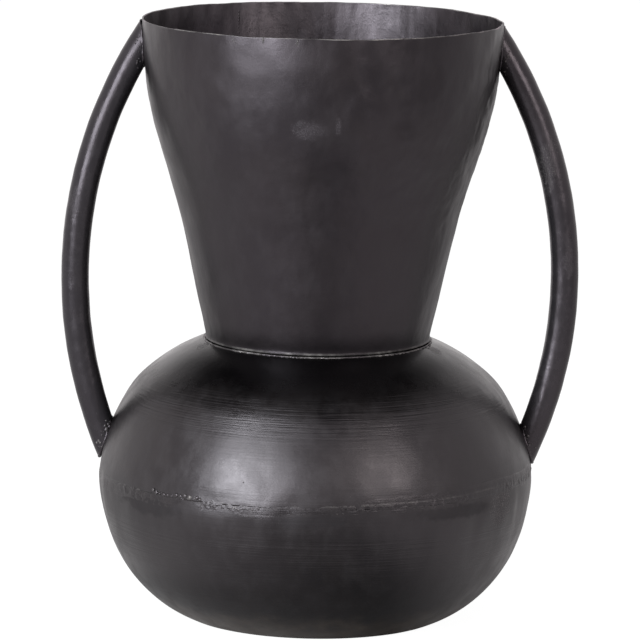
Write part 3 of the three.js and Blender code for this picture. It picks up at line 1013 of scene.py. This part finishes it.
class VASE_OT_neck_welds(bpy.types.Operator):
    """Makes the weld round the neck's foot and the one down its back."""

    bl_idname = "vase.neck_welds"
    bl_label = "Neck welds"

    def execute(self, context):
        sizes = context.scene.vase_sizes
        weld = weld_metal("Neck Weld Metal", 0.25 * MM, 0.5)
        spread = FOOT_KICK + 0.35 * MM
        middle = np.array([sizes.neck_foot_radius + spread,
                           sizes.neck_foot_height - spread * math.tan(SHOULDER_SLOPE)])
        sides = 14
        bead_radius = 0.75 * MM
        turns = np.linspace(0, FULL_TURN, sides, endpoint=False)
        outline = middle + bead_radius * np.column_stack([np.cos(turns), np.sin(turns)])
        mesh = grow("Revolved Outline", outline_mesh(outline, np.full(sides, 0.8), closed=True), {
            **REVOLVED, "Segments": 1600, "Dent Size": 9 * MM, "Dent Depth": 1.6 * MM,
            "Lump Size": 2.4 * MM, "Lump Depth": 2.2 * MM, "Wave From": -1.0, "Wave To": 0.0,
            "Wave Depth": 1.2 * MM, "Seed": 9.0, "Material": weld})
        place_piece("neck_foot_weld", facing_out(mesh), ["neck_weld"])
        face = offset_face(neck_face(sizes), sizes.sheet / 2)[CURL_POINTS:-3]
        points = [(r, 0, z) for r, z in face]
        mesh = grow("Weld Bead", path_mesh(points, False), {
            "Radius": 1.0 * MM, "Ripple Pitch": 2.2 * MM, "Ripple Depth": 0.1 * MM, "Lump Size": 5 * MM,
            "Lump Depth": 0.3 * MM, "Seed": 2.0, "Material": weld})
        seam_turn = math.radians(119)
        place_piece("neck_back_seam", facing_out(turned(mesh, seam_turn)), ["neck_seam_weld"])
        return {"FINISHED"}


class VASE_OT_handle_welds(bpy.types.Operator):
    """Makes the weld collars round the ends of the handles."""

    bl_idname = "vase.handle_welds"
    bl_label = "Handle welds"

    def execute(self, context):
        sizes = context.scene.vase_sizes
        weld = weld_metal("Handle Weld Metal", 0.3 * MM, 0.3)
        for side, angle in (("right", 0.0), ("left", math.pi)):
            arc = HandleArc(sizes, side)
            for end in ("top", "foot"):
                points, shares = collar_path(arc, sizes, end == "top", steps=90)
                path = path_mesh(points, True, shares)
                mesh = grow("Weld Bead", path, {
                    "Radius": 1.3 * MM, "Ripple Pitch": 2.6 * MM, "Ripple Depth": 0.05 * MM,
                    "Lump Size": 4 * MM, "Lump Depth": 1.7 * MM, "Seed": 7.0 + angle, "Material": weld})
                place_piece("handle_{}_{}_bead".format(side, end), facing_out(turned(mesh, angle)),
                            ["handle_{}_{}_weld".format(side, end)])
        return {"FINISHED"}


class VASE_OT_spatter(bpy.types.Operator):
    """Scatters weld spatter beside the welds."""

    bl_idname = "vase.spatter"
    bl_label = "Weld spatter"

    def execute(self, context):
        sizes = context.scene.vase_sizes
        weld = weld_metal("Spatter Metal", 0.1 * MM, 1.8)

        def scatter(name, faces, seed, density, smallest, largest, skew, bare):
            """Drops beads on the faces, with radii between two numbers of millimetres."""
            mesh = grow("Weld Spatter", faces, {
                "Density": density, "Smallest": smallest * MM, "Largest": largest * MM, "Skew": skew,
                "Bare": bare, "Seed": seed, "Material": weld})
            place_piece(name, facing_out(mesh), [])

        face = bowl_face(sizes)
        strip = face[(face[:, 1] > 92 * MM) & (face[:, 1] < 124 * MM)]
        scatter("weld_spatter", ring_strip(strip, -180, 180), 4, 2500.0, 0.18, 0.6, 2.5, 0.18)
        for name, low, high, bottom, top, out, largest, bare in (
                ("left", -47, -31, 105.5, 109.5, 0.25, 1.9, 0.2),
                ("middle", -23, -12, 103, 106.5, 0.5, 1.4, 0.3),
                ("neck_left", -76, -66, 199.6, 200.8, 0.0, 0.8, 0.5),
                ("neck_right", 70, 80, 199.4, 200.8, 0.0, 1.0, 0.5)):
            edge = face[(face[:, 1] > bottom * MM) & (face[:, 1] < top * MM)] + (out * MM, 0)
            scatter("weld_beads_" + name, ring_strip(edge, low, high), 8, 220000.0, 0.5, largest, 1.5, bare)
        for side, angle, front in (("right", 0.0, -90), ("left", math.pi, 90)):
            arc = HandleArc(sizes, side)
            for end, share, largest, bare in (("foot", 0.013, 1.6, 0.4), ("top", 0.984, 0.9, 0.15)):
                patch = turned(tube_patch(arc, sizes, front, share), angle)
                scatter("tube_spatter_{}_{}".format(side, end), patch, 5 + int(angle), 110000.0,
                        0.4, largest, 1.5, bare)
        for index, azimuth in enumerate(RIM_TICKS):
            turn = math.radians(azimuth - 90)
            points = []
            for inset, drop in ((0.0, 0.2), (0.0, 1.8), (0.3, 3.4)):
                radius = sizes.rim_radius - inset * MM
                points.append((radius * math.cos(turn), radius * math.sin(turn), sizes.height - drop * MM))
            mesh = grow("Weld Bead", path_mesh(points, False, (1.2, 1.0, 0.5)), {
                "Radius": 0.35 * MM, "Ripple Pitch": 1.2 * MM, "Ripple Depth": 0.02 * MM,
                "Lump Size": 2 * MM, "Lump Depth": 0.3 * MM, "Bare": 1.0, "Seed": 3.0 + index,
                "Material": weld})
            place_piece("rim_burr_" + str(index + 1), facing_out(mesh), [])
        return {"FINISHED"}


class VASE_OT_stage(bpy.types.Operator):
    """Makes the floor, the lights and the camera."""

    bl_idname = "vase.stage"
    bl_label = "Stage"

    def execute(self, context):
        scene = context.scene
        stage = scene.vase_stage
        target = Vector((stage.aside, 0, stage.target_height))

        camera_data = bpy.data.cameras.new("Camera")
        camera_data.lens = stage.lens
        camera_data.sensor_width = 36
        camera = bpy.data.objects.new("Camera", camera_data)
        away = Vector((0, -math.cos(stage.elevation), math.sin(stage.elevation))) * stage.distance
        facing = Matrix.Rotation(math.pi / 2 - stage.elevation, 4, "X") @ Matrix.Rotation(stage.roll, 4, "Z")
        camera.matrix_world = Matrix.Translation(target + away) @ facing
        scene.collection.objects.link(camera)
        scene.camera = camera

        soft_box("Left Softbox", -40, 1.6, 0.51, target.z, (0.75, 0.62), 25.0, (0.91, 0.98, 1.0))
        soft_box("Front Left Softbox", -22, 1.7, 0.62, target.z, (0.55, 1.0), 6.0, (0.95, 0.98, 1.0))
        soft_box("High Left Softbox", -42, 1.6, 1.15, target.z, (0.75, 1.0), 20.5, (0.91, 0.98, 1.0))
        soft_box("Right Softbox", 38, 1.8, 0.82, target.z, (0.75, 0.85), 10.5, (1.0, 0.97, 0.93))

        reach = 8
        floor_mesh = grid_mesh([[(x, y, 0) for x in (-reach, reach)] for y in (-reach, reach)])
        floor = bpy.data.objects.new("floor", floor_mesh)
        floor_mesh.materials.append(floor_material())
        scene.collection.objects.link(floor)
        scene.world = studio_world()
        scene.view_settings.view_transform = "Standard"
        return {"FINISHED"}


def soft_box(name, azimuth, distance, height, aim, size, power, colour):
    """A rectangular lamp that faces the vase."""
    lamp = bpy.data.lights.new(name, "AREA")
    lamp.shape = "RECTANGLE"
    lamp.size, lamp.size_y = size
    lamp.energy = power
    lamp.color = colour
    holder = bpy.data.objects.new(name, lamp)
    angle = math.radians(azimuth)
    place = Vector((math.sin(angle) * distance, -math.cos(angle) * distance, height))
    look = (Vector((0, 0, aim)) - place).normalized()
    holder.matrix_world = Matrix.Translation(place) @ look.to_track_quat("-Z", "Y").to_matrix().to_4x4()
    bpy.context.scene.collection.objects.link(holder)


WARM_WHITE = (1.0, 0.965, 0.97, 1)


def kinds_of_ray(g):
    """Whether a ray comes from the camera, whether from gloss, and the white that it meets."""
    rays = g.add("ShaderNodeLightPath").outputs
    from_camera = rays["Is Camera Ray"]
    from_gloss = g.most(rays["Is Glossy Ray"], rays["Is Transmission Ray"])
    return from_camera, from_gloss, g.blend(from_camera, WARM_WHITE, (1, 1, 1, 1))


def floor_material():
    """White floor that the camera sees as white, but for the shadow."""
    material = bpy.data.materials.new("Floor")
    g = shader_graph(material)
    white = g.add("ShaderNodeBsdfDiffuse", {"Color": (0.16, 0.16, 0.16, 1)})
    from_camera, from_gloss, tint = kinds_of_ray(g)
    place = g.coordinates()
    away = g.length(place)
    spread = g.split(place)
    reach = g.plus(away, g.times(spread["X"], 0.3))
    far = g.times(g.span(reach, 0.11, 0.52), g.span(spread["Y"], -0.6, 0.1, 0.55, 1.0))
    for value, low, high, to_low, to_high in (
            (spread["X"], 0.12, 0.55, 1.0, 0.55), (spread["X"], 0.50, 0.80, 1.0, 1.45),
            (spread["X"], -0.50, -0.80, 1.0, 1.2), (away, 0.9, 1.6, 0.84, 1.0)):
        far = g.times(far, g.span(value, low, high, to_low, to_high))
    behind = g.most(g.span(spread["Y"], 0.1, 0.35, 1.0, 0.72), g.span(spread["Y"], 0.9, 1.7, 0.0, 0.95))
    far = g.times(far, behind)
    left = g.times(g.span(spread["X"], 0.10, -0.22, 0.0, 0.88), g.span(away, 0.14, 0.19, 0.55, 1.0))
    beside = g.most(left, g.span(spread["X"], 0.03, 0.24, 0.0, 0.88))
    beside = g.times(beside, g.span(spread["Y"], -0.16, 0.06, 1.0, 0.68))
    far = g.most(far, g.times(beside, g.span(away, 1.2, 0.7)))
    seen = g.plus(g.times(from_camera, 0.96), g.times(from_gloss, far))
    lift = g.add("ShaderNodeEmission", {"Color": tint, "Strength": seen})
    both = g.add("ShaderNodeAddShader", {0: white.outputs[0], 1: lift.outputs[0]})
    g.add("ShaderNodeOutputMaterial", {"Surface": both.outputs[0]})
    return material


def studio_world():
    """Even light, white behind the vase and in its gloss."""
    world = bpy.data.worlds.new("Studio")
    g = shader_graph(world)
    from_camera, from_gloss, tint = kinds_of_ray(g)
    above = g.split(g.add("ShaderNodeTexCoord").outputs["Generated"])
    overhead = g.plus(above["Z"], g.times(above["Y"], 0.25))
    overhead = g.minus(overhead, g.span(above["X"], 0.0, 0.8, 0.0, 0.14))
    ceiling = g.span(overhead, 0.50, 0.88, 1.0, 0.0)
    ceiling = g.times(ceiling, g.span(above["X"], -0.2, 1.0, 1.0, 0.92))
    plain = g.minus(1.0, g.most(from_gloss, from_camera))
    strength = g.plus(g.times(from_gloss, ceiling), from_camera)
    strength = g.plus(strength, g.times(plain, 0.35))
    light = g.add("ShaderNodeBackground", {"Color": tint, "Strength": strength})
    g.add("ShaderNodeOutputWorld", {"Surface": light.outputs[0]})
    return world


class VASE_PT_pieces(bpy.types.Panel):
    """Lists the pieces of the vase and their settings."""

    bl_idname = "VASE_PT_pieces"
    bl_label = "Iron Vase"
    bl_space_type = "VIEW_3D"
    bl_region_type = "UI"
    bl_category = "Vase"

    def draw(self, context):
        for operator in OPERATORS:
            self.layout.operator(operator.bl_idname)
        for settings in (context.scene.vase_sizes, context.scene.vase_colours, context.scene.vase_stage):
            for name in settings.__annotations__:
                self.layout.prop(settings, name)


OPERATORS = (VASE_OT_bowl, VASE_OT_neck, VASE_OT_handles, VASE_OT_bowl_weld, VASE_OT_neck_welds,
             VASE_OT_handle_welds, VASE_OT_spatter, VASE_OT_stage)
SETTINGS = (VaseSizes, VaseColours, StageSettings)


def register():
    for kind in SETTINGS + OPERATORS + (VASE_PT_pieces,):
        bpy.utils.register_class(kind)
    bpy.types.Scene.vase_sizes = PointerProperty(type=VaseSizes)
    bpy.types.Scene.vase_colours = PointerProperty(type=VaseColours)
    bpy.types.Scene.vase_stage = PointerProperty(type=StageSettings)


def unregister():
    del bpy.types.Scene.vase_stage
    del bpy.types.Scene.vase_colours
    del bpy.types.Scene.vase_sizes
    for kind in (VASE_PT_pieces,) + OPERATORS[::-1] + SETTINGS[::-1]:
        bpy.utils.unregister_class(kind)


def main():
    register()
    bpy.ops.vase.bowl()
    bpy.ops.vase.neck()
    bpy.ops.vase.handles()
    bpy.ops.vase.bowl_weld()
    bpy.ops.vase.neck_welds()
    bpy.ops.vase.handle_welds()
    bpy.ops.vase.spatter()
    bpy.ops.vase.stage()


if __name__ == "__main__":
    main()
